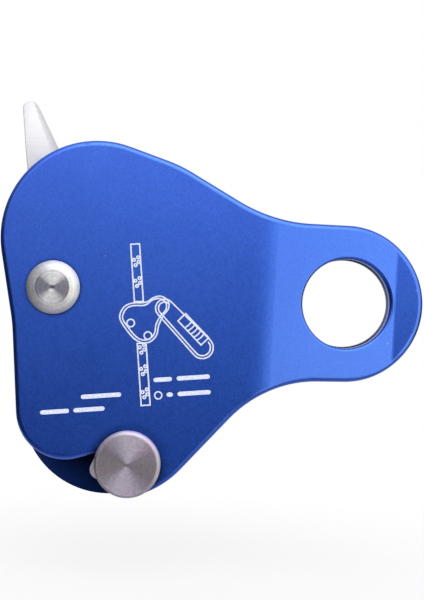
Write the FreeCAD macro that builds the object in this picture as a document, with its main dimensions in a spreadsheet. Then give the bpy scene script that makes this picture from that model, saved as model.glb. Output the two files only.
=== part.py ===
"""Rope-grab ascender: joggled side plates, a sprung toothed cam with a thumb lever and a latch stud.

Frame: the origin is the centre of the attachment eye, on the middle plane between the plates.
+X runs from the cam axle to the eye, +Z is up and -Y faces the user (the front plate).
"""
import FreeCAD
import Part
import os
import math
import Sketcher
from FreeCAD import Placement, Rotation, Vector

doc = FreeCAD.newDocument("ascender")
sheet = doc.addObject("Spreadsheet::Sheet", "dims")

# alias, value in mm (angles in degrees), what it is
DIMS = [
    # plates across the thickness (y)
    ("plate_thick", 4.0, "side plate thickness"),
    ("chamber_half", 8.0, "half of the gap between the plates at the cam"),
    ("tip_half", 0.2, "half of the gap between the two eye tips"),
    ("bend_x", -22.5, "start of the inward joggle"),
    ("crease_x", 13.4, "end of the inward joggle"),
    ("bend_radius", 28.0, "outer radius of the soft first bend"),
    ("crease_radius", 2.0, "outer radius of the crisp second bend"),
    ("edge_round", 1.4, "rounding of the outer plate edges"),
    ("stock_left", -100.0, "left end of the strip before trimming"),
    ("stock_right", 30.0, "right end of the strip before trimming"),
    ("stock_height", 130.0, "height of the strip before trimming"),
    ("through", 40.0, "reach of cuts that go right through"),
    ("overshoot", 5.0, "how far cutting outlines run past the metal"),
    ("eye_bore", 12.0, "radius of the attachment eye"),
    ("eye_round", 0.8, "rounding of the eye's outer edge"),
    # outline circles of the plates: centre x, centre z, radius
    ("eye_x", 0.0, ""), ("eye_z", 0.0, ""), ("eye_rad", 21.0, "lobe round the eye"),
    ("upneck_x", -11.5, ""), ("upneck_z", 60.4, ""), ("upneck_rad", 39.6, "hollow above the eye"),
    ("shoulder_x", -61.1, ""), ("shoulder_z", -1.4, ""), ("shoulder_rad", 38.3, "upper shoulder"),
    ("crown_x", -67.3, ""), ("crown_z", 13.8, ""), ("crown_rad", 25.6, "upper left round"),
    ("waist_x", -136.0, ""), ("waist_z", -17.2, ""), ("waist_rad", 48.0, "hollow on the left"),
    ("lobe_x", -73.2, ""), ("lobe_z", -32.35, ""), ("lobe_rad", 13.0, "lower left lobe, front plate"),
    ("throat_rad", 4.7, "throat of the latch hook"),
    ("tip_x", -54.53, ""), ("tip_z", -52.49, ""), ("tip_rad", 1.8, "end of the latch hook"),
    ("foot_x", -63.2, ""), ("foot_z", -32.6, ""), ("foot_rad", 24.15, "lower left lobe, rear plate"),
    ("belly_x", -61.1, ""), ("belly_z", -29.7, ""), ("belly_rad", 25.4, "lower edge"),
    ("lowneck_x", -6.0, ""), ("lowneck_z", -52.4, ""), ("lowneck_rad", 31.2, "hollow below the eye"),
    # cam axle
    ("axle_x", -78.0, "cam axle"), ("axle_z", 0.0, ""),
    ("axle_shank", 5.0, "axle radius"),
    ("axle_head", 7.05, "radius of the domed front head"),
    ("axle_head_high", 2.6, "height of the domed front head"),
    ("axle_head_edge", 1.5, "height of the head's straight rim"),
    ("head_gap", 0.15, "running gap under both heads"),
    ("run_gap", 0.05, "radial running clearance on the axle"),
    ("rivet_head", 7.0, "radius of the formed rear heads"),
    ("rivet_high", 1.3, "height of the formed rear heads"),
    ("ring_rad", 8.6, "radius of the rings under the rear heads"),
    ("ring_thick", 1.0, "thickness of the rings under the rear heads"),
    # latch stud
    ("stud_x", -55.8, "latch stud"), ("stud_z", -45.3, ""),
    ("stud_shank", 4.5, "stud radius"),
    ("stud_head", 8.7, "radius of the flat front head"),
    ("stud_head_high", 3.2, "height of the flat front head"),
    ("stud_bevel", 0.8, "bevel of the flat front head"),
    # bushings and thrust washers
    ("bush_rad", 6.4, "outer radius of both bushings"),
    ("cam_half", 6.0, "half of the cam's width"),
    ("washer_rad", 7.3, "radius of the thrust washers"),
    ("washer_gap", 0.05, "end play on each face of a thrust washer"),
    # cam
    ("rope_angle", 66.2, "direction of the rope line above +X"),
    ("stop_dist", 30.0, "distance from the axle to the backstop face"),
    ("nip", 4.0, "gap between the cam and the backstop at rest"),
    ("grip_angle", 30.0, "wedge angle of the cam spiral"),
    ("tooth_count", 11.0, "teeth on the cam"),
    ("tooth_pitch", 4.6, "angle between teeth"),
    ("tooth_deep", 1.3, "height of a tooth"),
    ("tooth_first", -61.0, "angle of the lowest tooth round the axle"),
    ("tooth_rise", 0.35, "share of the pitch before a tooth's crest"),
    ("tooth_fall", 0.45, "share of the pitch behind a tooth's crest"),
    ("heel_rad", 22.7, "radius of the cam's smooth heel below the teeth"),
    ("heel_angle", 14.0, "angle from the lowest tooth to the heel"),
    ("heel_root", 44.0, "angle from the lowest tooth to where the heel leaves the hub"),
    ("brow_rad", 13.5, "radius of the cam's smooth brow above the teeth"),
    ("brow_angle", 20.0, "angle from the last tooth to the brow"),
    ("brow_root", 50.0, "angle from the last tooth to where the brow meets the hub"),
    ("root_sink", 0.5, "how far the nose starts inside the hub"),
    ("hub_rad", 10.8, "radius of the cam hub"),
    # thumb lever: widths, then outline circles measured from the axle
    ("lever_half", 5.8, "half width of the lever at its root"),
    ("lever_tip_half", 1.8, "half width of the lever at its tip"),
    ("lever_taper", 35.5, "height above the axle where the lever starts to narrow"),
    ("lever_top", 50.3, "height of the lever tip above the axle"),
    ("lever_side", 9.1, "distance of the lever's straight flank left of the axle"),
    ("lever_root_x", 8.3, "right end of the lever's root"),
    ("lever_root_z", 2.0, "height of the lever's root circles"),
    ("lever_root_rad", 3.0, "radius of the root circles"),
    ("knee_x", -8.8, ""), ("knee_z", 28.3, ""), ("knee_rad", 10.0, "knee of the lever's right flank"),
    ("point_x", -10.25, ""), ("point_rad", 2.0, "rounded end of the lever"),
    ("lean_z", 24.0, "height where the left flank starts to lean out"),
    ("lean_rad", 60.0, "radius of that lean"),
    ("recess_in", 7.4, "inner radius of the spring recess"),
    ("recess_out", 9.7, "outer radius of the spring recess"),
    ("recess_floor", 2.2, "y of the bottom of the spring recess"),
    # pins in the rear plate
    ("stop_high", 14.5, "height of the cam stop pin above the axle"),
    ("stop_rad", 1.7, "radius of the cam stop pin"),
    ("stop_front", -5.0, "y of the free end of the cam stop pin"),
    ("anchor_rad", 1.5, "radius of the spring anchor pin"),
    ("anchor_high", 11.5, "height of the spring anchor pin above the axle"),
    ("anchor_front", 6.3, "y of the free end of the spring anchor pin"),
    ("pin_gap", 0.05, "gap between the pins and what rests on them"),
    ("small_head", 0.9, "how far the small formed heads stand out round their pins"),
    ("small_head_high", 0.5, "height of the small formed heads"),
    # spring
    ("coil_rad", 8.55, "mean coil radius"),
    ("wire_rad", 0.55, "wire radius"),
    ("coil_pitch", 1.28, "distance between turns"),
    ("coil_turns", 3.0, "number of turns"),
    ("coil_start", 3.1, "y of the first turn"),
    ("leg_fixed", 14.0, "length of the leg on the anchor pin"),
    ("leg_cam", 9.0, "length of the leg in the cam"),
    ("leg_gap", 0.1, "play of the leg in the cam's groove"),
    # backstop
    ("block_gap", 0.3, "gap between the backstop and the front plate"),
    ("block_corner", 2.6, "rounded lower corner of the backstop"),
    ("block_end", 8.1, "radius of the backstop round the stud"),
    ("block_top", 13.0, "upper end of the backstop along the rope"),
    ("block_depth", 9.5, "depth of the backstop at its upper end"),
    ("block_pin_in", 5.0, "rivets' distance behind the rope face"),
    ("block_pin_up", 7.0, "upper rivet along the rope"),
    ("block_pin_down", -13.0, "lower rivet along the rope"),
    ("block_lead", 3.5, "rounded lead-in at the upper end of the rope face"),
    ("block_back", 2.5, "rounded upper back corner of the backstop"),
    ("rivet_reach", -1.0, "y of the blind end of the backstop rivets"),
    ("groove_rad", 8.0, "radius of the rope groove"),
    ("groove_deep", 1.5, "depth of the rope groove"),
    ("pin_rad", 2.0, "radius of the backstop rivets"),
    ("pin_head", 3.3, "radius of the backstop rivet heads"),
    ("pin_head_high", 0.9, "height of the backstop rivet heads"),
]
for row, (alias, value, note) in enumerate(DIMS, start=1):
    sheet.set(f"A{row}", note or alias)
    sheet.set(f"B{row}", str(value))
    sheet.setAlias(f"B{row}", alias)
doc.recompute()


NEAR = 0.01                # mm within which two places count as the same
NEAR_SKIN = 0.15           # the same for edges on the plates' bent outer skin


def num(expression):
    """Value of a sheet expression as a plain number."""
    result = sheet.evalExpression(expression)
    return float(getattr(result, "Value", result))


def new_body(label, x="0", z="0"):
    """Body named after the piece, standing at (x, 0, z)."""
    body = doc.addObject("PartDesign::Body", label)
    body.Label = label
    body.setExpression("Placement.Base.x", x)
    body.setExpression("Placement.Base.z", z)
    return body


def new_sketch(body, name, role="XZ_Plane"):
    """Sketch on one of the body's own origin planes."""
    sketch = body.newObject("Sketcher::SketchObject", name)
    plane = [f for f in body.Origin.OriginFeatures if f.Role == role][0]
    sketch.AttachmentSupport = [(plane, "")]
    sketch.MapMode = "FlatFace"
    return sketch


def fix(sketch, kind, refs, name, expression):
    """Add one named driving constraint and bind it to an expression."""
    index = sketch.addConstraint(Sketcher.Constraint(kind, *refs, num(expression)))
    sketch.renameConstraint(index, name)
    sketch.setExpression(f"Constraints.{name}", expression)


def fix_point(sketch, geometry, which, name, x, z):
    """Hold a point at (x, z) of the sketch plane."""
    fix(sketch, "DistanceX", (-1, 1, geometry, which), f"{name}_x", x)
    fix(sketch, "DistanceY", (-1, 1, geometry, which), f"{name}_z", z)


def add_circle(sketch, name, radius, x="0", z="0"):
    """Circle with its centre and radius driven by the sheet."""
    centre = Vector(num(x), num(z), 0)
    index = sketch.addGeometry(Part.Circle(centre, Vector(0, 0, 1), num(radius)))
    fix(sketch, "Radius", (index,), f"{name}_r", radius)
    fix_point(sketch, index, 3, name, x, z)


def add_polygon(sketch, name, corners):
    """Closed polygon through corners given as pairs of expressions."""
    points = [Vector(num(x), num(z), 0) for x, z in corners]
    count = len(points)
    first = None
    for i in range(count):
        index = sketch.addGeometry(Part.LineSegment(points[i], points[(i + 1) % count]))
        first = index if first is None else first
    for i in range(count):
        sketch.addConstraint(Sketcher.Constraint("Coincident", first + i, 2, first + (i + 1) % count, 1))
    for i, (x, z) in enumerate(corners):
        fix_point(sketch, first + i, 1, f"{name}{i}", x, z)


def add_chain(sketch, circles):
    """Closed outline that wraps circles in order: side +1 rounds outward, side -1 hollows inward."""
    count = len(circles)
    spec = [(c[0], Vector(num(c[1]), num(c[2]), 0), num(c[3]), c[4]) for c in circles]
    ends = []
    for i in range(count):
        _, here, r_here, s_here = spec[i]
        _, there, r_there, s_there = spec[(i + 1) % count]
        span = there - here
        turn = math.asin((s_there * r_there - s_here * r_here) / span.Length)
        heading = math.atan2(span.y, span.x) - turn
        side = Vector(math.sin(heading), -math.cos(heading), 0)
        ends.append((here + side * (s_here * r_here), there + side * (s_there * r_there)))
    arcs = []
    for i in range(count):
        _, centre, radius, side = spec[i]
        enter = ends[i - 1][1] - centre
        leave = ends[i][0] - centre
        start, stop = (enter, leave) if side > 0 else (leave, enter)
        a0 = math.atan2(start.y, start.x)
        a1 = math.atan2(stop.y, stop.x)
        a1 = a1 if a1 > a0 else a1 + 2 * math.pi
        circle = Part.Circle(centre, Vector(0, 0, 1), radius)
        arcs.append(sketch.addGeometry(Part.ArcOfCircle(circle, a0, a1)))
    lines = [sketch.addGeometry(Part.LineSegment(*pair)) for pair in ends]
    for i in range(count):
        leave_end = 2 if spec[i][3] > 0 else 1
        following = (i + 1) % count
        enter_end = 1 if spec[following][3] > 0 else 2
        sketch.addConstraint(Sketcher.Constraint("Tangent", arcs[i], leave_end, lines[i], 1))
        sketch.addConstraint(Sketcher.Constraint("Tangent", arcs[following], enter_end, lines[i], 2))
    for i, (name, x, z, radius, _) in enumerate(circles):
        fix(sketch, "Radius", (arcs[i],), f"{name}_r", radius)
        fix_point(sketch, arcs[i], 3, name, x, z)


def pad(body, sketch, name, low, high):
    """Pad between y = low and y = high (the sketch plane's normal is -Y)."""
    feature = body.newObject("PartDesign::Pad", name)
    feature.Profile = sketch
    sketch.setExpression("AttachmentOffset.Base.z", f"-({low})")
    feature.setExpression("Length", f"({high}) - ({low})")
    feature.Reversed = True
    return feature


def pocket(body, sketch, name, low, high):
    """Pocket between y = low and y = high."""
    feature = body.newObject("PartDesign::Pocket", name)
    feature.Profile = sketch
    sketch.setExpression("AttachmentOffset.Base.z", f"-({low})")
    feature.setExpression("Length", f"({high}) - ({low})")
    return feature


def ring_pad(body, name, radius, low, high, bore=None):
    """Disc, or ring when a bore is given, between two y values on the body's own axis."""
    sketch = new_sketch(body, name + "_sketch")
    add_circle(sketch, "rim", radius)
    if bore:
        add_circle(sketch, "bore", bore)
    return pad(body, sketch, name, low, high)


def hole(body, name, radius, x, z, low="-dims.through", high="dims.through"):
    """Round hole along y."""
    sketch = new_sketch(body, name + "_sketch")
    add_circle(sketch, "hole", radius, x, z)
    return pocket(body, sketch, name, low, high)


def dress(body, kind, name, size, edges):
    """Fillet or chamfer the tip's edges that the given test accepts."""
    doc.recompute()
    base = body.Tip
    picked = [f"Edge{i}" for i, e in enumerate(base.Shape.Edges, start=1) if edges(e)]
    feature = body.newObject("PartDesign::" + kind, name)
    feature.Base = (base, picked)
    feature.setExpression("Radius" if kind == "Fillet" else "Size", size)
    doc.recompute()
    return feature


def is_circle(edge, radius, y):
    """True for a circular edge of this radius lying flat at this y."""
    curve = edge.Curve
    same = isinstance(curve, Part.Circle) and abs(curve.Radius - radius) < NEAR
    return same and abs(edge.BoundBox.YMin - y) < NEAR and abs(edge.BoundBox.YMax - y) < NEAR


# places on the rope line: n runs from the axle square to the rope, d runs up along the rope
AXLE = ("dims.axle_x", "dims.axle_z")


def on_rope(n, d):
    """Point n mm across and d mm along the rope line, measured from the axle."""
    x = f"({n}) * sin(dims.rope_angle) + ({d}) * cos(dims.rope_angle)"
    z = f"({d}) * sin(dims.rope_angle) - ({n}) * cos(dims.rope_angle)"
    return x, z


def polar(radius, angle):
    """Point at a radius and an angle round the axle."""
    return f"({radius}) * cos({angle})", f"({radius}) * sin({angle})"


def at_axle(point):
    """The same point measured from the eye."""
    return f"dims.axle_x + {point[0]}", f"dims.axle_z + {point[1]}"


# ---- side plates -------------------------------------------------------------------------
def outline_circle(name, side):
    """One circle of a plate's outline, read from the sheet."""
    return (name, f"dims.{name}_x", f"dims.{name}_z", f"dims.{name}_rad", side)


UPPER = [("eye", 1), ("upneck", -1), ("shoulder", 1), ("crown", 1), ("waist", -1)]
LOWER = [("belly", 1), ("lowneck", -1)]
THROAT = ("throat", "dims.stud_x", "dims.stud_z", "dims.throat_rad", -1)
FRONT_CHAIN = [outline_circle(*c) for c in UPPER + [("lobe", 1)]] + [THROAT]
FRONT_CHAIN += [outline_circle(*c) for c in [("tip", 1)] + LOWER]
REAR_CHAIN = [outline_circle(*c) for c in UPPER + [("foot", 1)] + LOWER]

OUTER = "(dims.chamber_half + dims.plate_thick)"
FALL = "atan((dims.chamber_half - dims.tip_half) / (dims.crease_x - dims.bend_x))"
SHIFT = f"dims.plate_thick * tan({FALL} / 2)"


def side_plate(label, side, chain, holes):
    """Strip bent inward at the eye end, trimmed and drilled. side is -1 in front, +1 behind."""
    body = new_body(label)
    strip = new_sketch(body, "strip", "XY_Plane")
    outer_tip = "(dims.tip_half + dims.plate_thick)"
    add_polygon(strip, "p", [
        ("dims.stock_left", f"{side} * {OUTER}"),
        ("dims.bend_x", f"{side} * {OUTER}"),
        ("dims.crease_x", f"{side} * {outer_tip}"),
        ("dims.stock_right", f"{side} * {outer_tip}"),
        ("dims.stock_right", f"{side} * dims.tip_half"),
        (f"dims.crease_x - {SHIFT}", f"{side} * dims.tip_half"),
        (f"dims.bend_x - {SHIFT}", f"{side} * dims.chamber_half"),
        ("dims.stock_left", f"{side} * dims.chamber_half"),
    ])
    slab = body.newObject("PartDesign::Pad", "slab")
    slab.Profile = strip
    slab.setExpression("Length", "dims.stock_height")
    slab.Midplane = True
    doc.recompute()
    fall = math.radians(num(FALL))
    outer_y = side * num(OUTER)
    inner_y = side * num("dims.chamber_half")

    def at_bend(x, y):
        """Test for the upright edge of the strip that stands at (x, y)."""
        def stands_there(edge):
            box = edge.BoundBox
            upright = abs(box.ZLength - num("dims.stock_height")) < NEAR
            there = abs(box.YMin - y) < NEAR and abs(box.YMax - y) < NEAR
            return upright and there and abs(box.XMin - x) < NEAR
        return stands_there

    dress(body, "Fillet", "soft_bend", "dims.bend_radius", at_bend(num("dims.bend_x"), outer_y))
    shift = num("dims.plate_thick") * math.tan(fall / 2)
    dress(body, "Fillet", "soft_bend_inside", "dims.bend_radius - dims.plate_thick",
          at_bend(num("dims.bend_x") - shift, inner_y))
    outer_tip_y = side * num(outer_tip)
    inner_tip_y = side * num("dims.tip_half")
    dress(body, "Fillet", "crease", "dims.crease_radius", at_bend(num("dims.crease_x"), outer_tip_y))
    dress(body, "Fillet", "crease_inside", "dims.crease_radius + dims.plate_thick",
          at_bend(num("dims.crease_x") - shift, inner_tip_y))
    trim = new_sketch(body, "trim")
    add_polygon(trim, "stock", [
        ("dims.stock_left - dims.overshoot", "-dims.stock_height"),
        ("dims.stock_right + dims.overshoot", "-dims.stock_height"),
        ("dims.stock_right + dims.overshoot", "dims.stock_height"),
        ("dims.stock_left - dims.overshoot", "dims.stock_height"),
    ])
    add_chain(trim, chain)
    pocket(body, trim, "outline", "-dims.through", "dims.through")

    def outer_rim(edge):
        """Edges of the outer skin: not on the chamber side and not along a bend line."""
        middle = edge.valueAt((edge.FirstParameter + edge.LastParameter) / 2)
        skin = skin_y(middle.x)
        level = abs(side * middle.y - skin) < NEAR_SKIN
        along_bend = edge.BoundBox.XLength < NEAR and edge.BoundBox.YLength < NEAR
        return level and not along_bend

    def skin_y(x):
        """Distance of the outer skin from the middle plane at x."""
        start = num("dims.bend_x")
        end = num("dims.crease_x")
        outer = num(OUTER)
        drop = num("dims.chamber_half - dims.tip_half")
        radius = num("dims.bend_radius")
        run = radius * math.tan(fall / 2)
        if x > end - 0.5:
            return outer - drop
        if x > start + run * math.cos(fall):
            return outer - drop * (x - start) / (end - start)
        if x > start - run:
            return outer - radius + math.sqrt(radius ** 2 - (x - start + run) ** 2)
        return outer

    dress(body, "Fillet", "outer_edge", "dims.edge_round", outer_rim)
    eye = hole(body, "eye", "dims.eye_bore", "dims.eye_x", "dims.eye_z")
    seam_on_top = Rotation(Vector(0, 0, 1), 90)
    eye.Profile[0].AttachmentOffset = Placement(Vector(0, 0, num("dims.through")), seam_on_top)

    def eye_rim(edge):
        """The eye's edge on the outer skin."""
        radius = num("dims.eye_bore")
        steps = [edge.FirstParameter + i / 8 * (edge.LastParameter - edge.FirstParameter) for i in range(9)]
        points = [edge.valueAt(t) for t in steps]
        round_eye = all(abs(math.hypot(p.x, p.z) - radius) < NEAR for p in points)
        return round_eye and all(abs(side * p.y - skin_y(p.x)) < NEAR_SKIN for p in points)

    dress(body, "Fillet", "eye_edge", "dims.eye_round", eye_rim)
    for name, radius, (x, z) in holes:
        hole(body, name, radius, x, z)
    doc.recompute()
    return body


STUD = ("dims.stud_x", "dims.stud_z")
STOP = at_axle(("-(dims.lever_side + dims.stop_rad + dims.pin_gap)", "dims.stop_high"))
ANCHOR = at_axle(("dims.coil_rad + dims.wire_rad + dims.anchor_rad + dims.pin_gap", "dims.anchor_high"))
BLOCK_PINS = [at_axle(on_rope("dims.stop_dist + dims.block_pin_in", d))
              for d in ("dims.block_pin_up", "dims.block_pin_down")]

side_plate("front_plate", -1, FRONT_CHAIN, [("bush_seat", "dims.bush_rad", AXLE)])
rear_holes = [("axle_hole", "dims.axle_shank", AXLE), ("stud_hole", "dims.stud_shank", STUD)]
rear_holes += [("stop_hole", "dims.stop_rad", STOP), ("anchor_hole", "dims.anchor_rad", ANCHOR)]
rear_holes += [(f"rivet_hole{i}", "dims.pin_rad", p) for i, p in enumerate(BLOCK_PINS, start=1)]
side_plate("rear_plate", 1, REAR_CHAIN, rear_holes)

# ---- axle, stud and their rings -------------------------------------------------------------
def headed_pin(label, place, shank, head, head_high, edge, kind):
    """Pin through both plates with a wide front head and a formed rear head over a ring."""
    body = new_body(label, *place)
    ring_pad(body, "shank", shank, f"-{OUTER} - dims.head_gap - {head_high} / 2",
             f"{OUTER} + dims.ring_thick")
    ring_pad(body, "head", head, f"-{OUTER} - dims.head_gap - {head_high}", f"-{OUTER} - dims.head_gap")
    ring_pad(body, "formed", "dims.rivet_head", f"{OUTER} + dims.ring_thick",
             f"{OUTER} + dims.ring_thick + dims.rivet_high")
    front = -num(OUTER) - num("dims.head_gap") - num(head_high)
    back = num(OUTER) + num("dims.ring_thick") + num("dims.rivet_high")
    dress(body, kind, "front_edge", edge, lambda e: is_circle(e, num(head), front))
    dress(body, "Fillet", "rear_edge", "dims.rivet_high / 2",
          lambda e: is_circle(e, num("dims.rivet_head"), back))


def rear_ring(label, place, shank):
    """Plain ring between the rear plate and a formed head."""
    body = new_body(label, *place)
    ring_pad(body, "ring", "dims.ring_rad", OUTER, f"{OUTER} + dims.ring_thick", shank)
    y = num(OUTER) + num("dims.ring_thick")
    dress(body, "Chamfer", "ring_edge", "dims.ring_thick / 4",
          lambda e: is_circle(e, num("dims.ring_rad"), y))


headed_pin("cam_axle", AXLE, "dims.axle_shank", "dims.axle_head", "dims.axle_head_high",
           "dims.axle_head_high - dims.axle_head_edge", "Fillet")
rear_ring("cam_axle_ring", AXLE, "dims.axle_shank")
headed_pin("latch_stud", STUD, "dims.stud_shank", "dims.stud_head", "dims.stud_head_high",
           "dims.stud_bevel", "Chamfer")
rear_ring("latch_stud_ring", STUD, "dims.stud_shank")

# ---- bushings and thrust washers ---------------------------------------------------------
RUNNING = "dims.axle_shank + dims.run_gap"
body = new_body("front_plate_bushing", *AXLE)
ring_pad(body, "bush", "dims.bush_rad", f"-{OUTER}", "-dims.chamber_half", RUNNING)
body = new_body("cam_bushing", *AXLE)
ring_pad(body, "bush", "dims.bush_rad", "-dims.cam_half", "dims.cam_half", RUNNING)
WASHER_IN = "dims.cam_half + dims.washer_gap"
WASHER_OUT = "dims.chamber_half - dims.washer_gap"
body = new_body("cam_washer_front", *AXLE)
ring_pad(body, "washer", "dims.washer_rad", f"-({WASHER_OUT})", f"-({WASHER_IN})", RUNNING)
body = new_body("cam_washer_rear", *AXLE)
ring_pad(body, "washer", "dims.washer_rad", WASHER_IN, WASHER_OUT, RUNNING)

# ---- cam ----------------------------------------------------------------------------------
GRIP = "(dims.rope_angle - 90 - dims.grip_angle)"
GRIP_RADIUS = "(dims.stop_dist - dims.nip) / cos(dims.grip_angle)"


def spiral(angle, inset="0"):
    """Point on the cam's spiral: it shrinks steadily as the angle grows, so the wedge angle never changes."""
    growth = f"exp(-(({angle}) - {GRIP}) * pi / 180 * tan(dims.grip_angle))"
    return polar(f"{GRIP_RADIUS} * {growth} - {inset}", angle)


cam = new_body("cam", *AXLE)
ring_pad(cam, "hub", "dims.hub_rad", "-dims.cam_half", "dims.cam_half")
face = new_sketch(cam, "toothed_face")
corners = [
    polar("dims.hub_rad - dims.root_sink", "dims.tooth_first - dims.heel_root"),
    polar("dims.heel_rad", "dims.tooth_first - dims.heel_angle"),
]
corners.append(spiral("dims.tooth_first - dims.tooth_pitch", "dims.tooth_deep"))
for i in range(int(num("dims.tooth_count"))):
    start = f"dims.tooth_first + {i} * dims.tooth_pitch"
    corners.append(spiral(f"{start} - dims.tooth_rise * dims.tooth_pitch"))
    corners.append(spiral(f"{start} + dims.tooth_fall * dims.tooth_pitch", "dims.tooth_deep"))
last = "dims.tooth_first + dims.tooth_count * dims.tooth_pitch"
corners.append(polar("dims.brow_rad", f"{last} + dims.brow_angle"))
corners.append(polar("dims.hub_rad - dims.root_sink", f"{last} + dims.brow_root"))
add_polygon(face, "f", corners)
pad(cam, face, "nose", "-dims.cam_half", "dims.cam_half")

lever = new_sketch(cam, "lever_outline")
add_chain(lever, [
    ("root_right", "dims.lever_root_x - dims.lever_root_rad", "dims.lever_root_z", "dims.lever_root_rad", 1),
    ("knee", "dims.knee_x", "dims.knee_z", "dims.knee_rad", 1),
    ("point", "dims.point_x", "dims.lever_top - dims.point_rad", "dims.point_rad", 1),
    ("lean", "-dims.lever_side - dims.lean_rad", "dims.lean_z", "dims.lean_rad", -1),
    ("root_left", "dims.lever_root_rad - dims.lever_side", "dims.lever_root_z", "dims.lever_root_rad", 1),
])
pad(cam, lever, "lever", "-dims.lever_half", "dims.lever_half")
for side in (-1, 1):
    taper = new_sketch(cam, "taper_front" if side < 0 else "taper_rear", "YZ_Plane")
    add_polygon(taper, "t", [
        (f"{side} * dims.lever_half", "dims.lever_taper"),
        (f"{side} * dims.lever_tip_half", "dims.lever_top"),
        (f"{side} * dims.lever_tip_half", "dims.lever_top + dims.overshoot"),
        (f"{side} * (dims.lever_half + dims.overshoot)", "dims.lever_top + dims.overshoot"),
        (f"{side} * (dims.lever_half + dims.overshoot)", "dims.lever_taper"),
    ])
    cut = cam.newObject("PartDesign::Pocket", taper.Name + "_cut")
    cut.Profile = taper
    cut.Midplane = True
    cut.setExpression("Length", "dims.lever_top")
recess = new_sketch(cam, "recess")
add_circle(recess, "outer", "dims.recess_out")
add_circle(recess, "inner", "dims.recess_in")
pocket(cam, recess, "spring_recess", "dims.recess_floor", "dims.cam_half + dims.overshoot")
groove = new_sketch(cam, "leg_groove")
GROOVE_HALF = "(dims.wire_rad + dims.leg_gap)"
add_polygon(groove, "g", [
    (f"dims.coil_rad - {GROOVE_HALF}", "0"),
    (f"dims.coil_rad + {GROOVE_HALF}", "0"),
    (f"dims.coil_rad + {GROOVE_HALF}", "-dims.leg_cam - dims.leg_gap"),
    (f"dims.coil_rad - {GROOVE_HALF}", "-dims.leg_cam - dims.leg_gap"),
])
pocket(cam, groove, "leg_slot", f"dims.coil_start - {GROOVE_HALF}", "dims.cam_half + dims.overshoot")
hole(cam, "bush_seat", "dims.bush_rad", "0", "0")

# ---- torsion spring -------------------------------------------------------------------------
spring = new_body("cam_spring", *AXLE)


def wire_section(name, y):
    """Wire cross-section on the +X side of the coil."""
    sketch = new_sketch(spring, name, "XY_Plane")
    add_circle(sketch, "wire", "dims.wire_rad", "dims.coil_rad", y)
    return sketch


coil = spring.newObject("PartDesign::AdditiveHelix", "coil")
coil.Profile = wire_section("wire_start", "dims.coil_start")
axis = [f for f in spring.Origin.OriginFeatures if f.Role == "Y_Axis"][0]
coil.ReferenceAxis = (axis, [""])
coil.Mode = "pitch-turns-angle"
coil.setExpression("Pitch", "dims.coil_pitch")
coil.setExpression("Turns", "dims.coil_turns")
coil.LeftHanded = True
doc.recompute()
cam_leg = spring.newObject("PartDesign::Pad", "cam_leg")
cam_leg.Profile = wire_section("wire_cam_leg", "dims.coil_start")
cam_leg.Reversed = True
cam_leg.setExpression("Length", "dims.leg_cam")
fixed_leg = spring.newObject("PartDesign::Pad", "fixed_leg")
fixed_leg.Profile = wire_section("wire_fixed_leg", "dims.coil_start + dims.coil_turns * dims.coil_pitch")
fixed_leg.setExpression("Length", "dims.leg_fixed")

# ---- small pins in the rear plate ------------------------------------------------------------
def small_pin(body, radius, front, head, head_high, x="0", z="0"):
    """Pin pressed into the rear plate with a small formed head behind it."""
    steps = (("pin", radius, front, OUTER), ("head", head, OUTER, f"{OUTER} + {head_high}"))
    for name, size, low, high in steps:
        sketch = new_sketch(body, f"{name}_sketch")
        add_circle(sketch, name, size, x, z)
        pad(body, sketch, f"{name}_pad", low, high)


small_pin(new_body("cam_stop_pin", *STOP), "dims.stop_rad", "dims.stop_front",
          "dims.stop_rad + dims.small_head", "dims.small_head_high")
small_pin(new_body("spring_anchor_pin", *ANCHOR), "dims.anchor_rad", "dims.anchor_front",
          "dims.anchor_rad + dims.small_head", "dims.small_head_high")

# ---- backstop and its rivets -----------------------------------------------------------------
backstop = new_body("backstop", *AXLE)
profile = new_sketch(backstop, "profile")
profile_end = ("dims.stud_x - dims.axle_x", "dims.stud_z - dims.axle_z")
STUD_D = ("((dims.stud_x - dims.axle_x) * cos(dims.rope_angle)"
          " + (dims.stud_z - dims.axle_z) * sin(dims.rope_angle))")
HEEL = on_rope("dims.stop_dist + dims.block_corner", f"{STUD_D} - dims.block_end + dims.block_corner")
LEAD = on_rope("dims.stop_dist + dims.block_lead", "dims.block_top - dims.block_lead")
BACK = on_rope("dims.stop_dist + dims.block_depth - dims.block_back", "dims.block_top - dims.block_back")
add_chain(profile, [
    ("heel", *HEEL, "dims.block_corner", 1),
    ("end", *profile_end, "dims.block_end", 1),
    ("back", *BACK, "dims.block_back", 1),
    ("lead", *LEAD, "dims.block_lead", 1),
])
pad(backstop, profile, "block", "dims.block_gap - dims.chamber_half", "dims.chamber_half")
rope_groove = new_sketch(backstop, "rope_groove", "XY_Plane")
lean = Rotation(Vector(0, 1, 0), 90 - num("dims.rope_angle"))
rope_groove.AttachmentOffset = Placement(Vector(0, 0, 0), lean)
rope_groove.setExpression("AttachmentOffset.Rotation.Angle", "90 - dims.rope_angle")
add_circle(rope_groove, "rope", "dims.groove_rad", "dims.stop_dist + dims.groove_deep - dims.groove_rad")
cut = backstop.newObject("PartDesign::Pocket", "groove")
cut.Profile = rope_groove
cut.Midplane = True
cut.setExpression("Length", "dims.stock_height")
hole(backstop, "stud_hole", "dims.stud_shank", *profile_end)
PIN_FRONT = "dims.rivet_reach"
for i, (x, z) in enumerate(BLOCK_PINS, start=1):
    hole(backstop, f"rivet_hole{i}", "dims.pin_rad", f"{x} - dims.axle_x", f"{z} - dims.axle_z", PIN_FRONT)
first, second = BLOCK_PINS
rivets = new_body("backstop_rivets", *first)
small_pin(rivets, "dims.pin_rad", PIN_FRONT, "dims.pin_head", "dims.pin_head_high")
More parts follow.
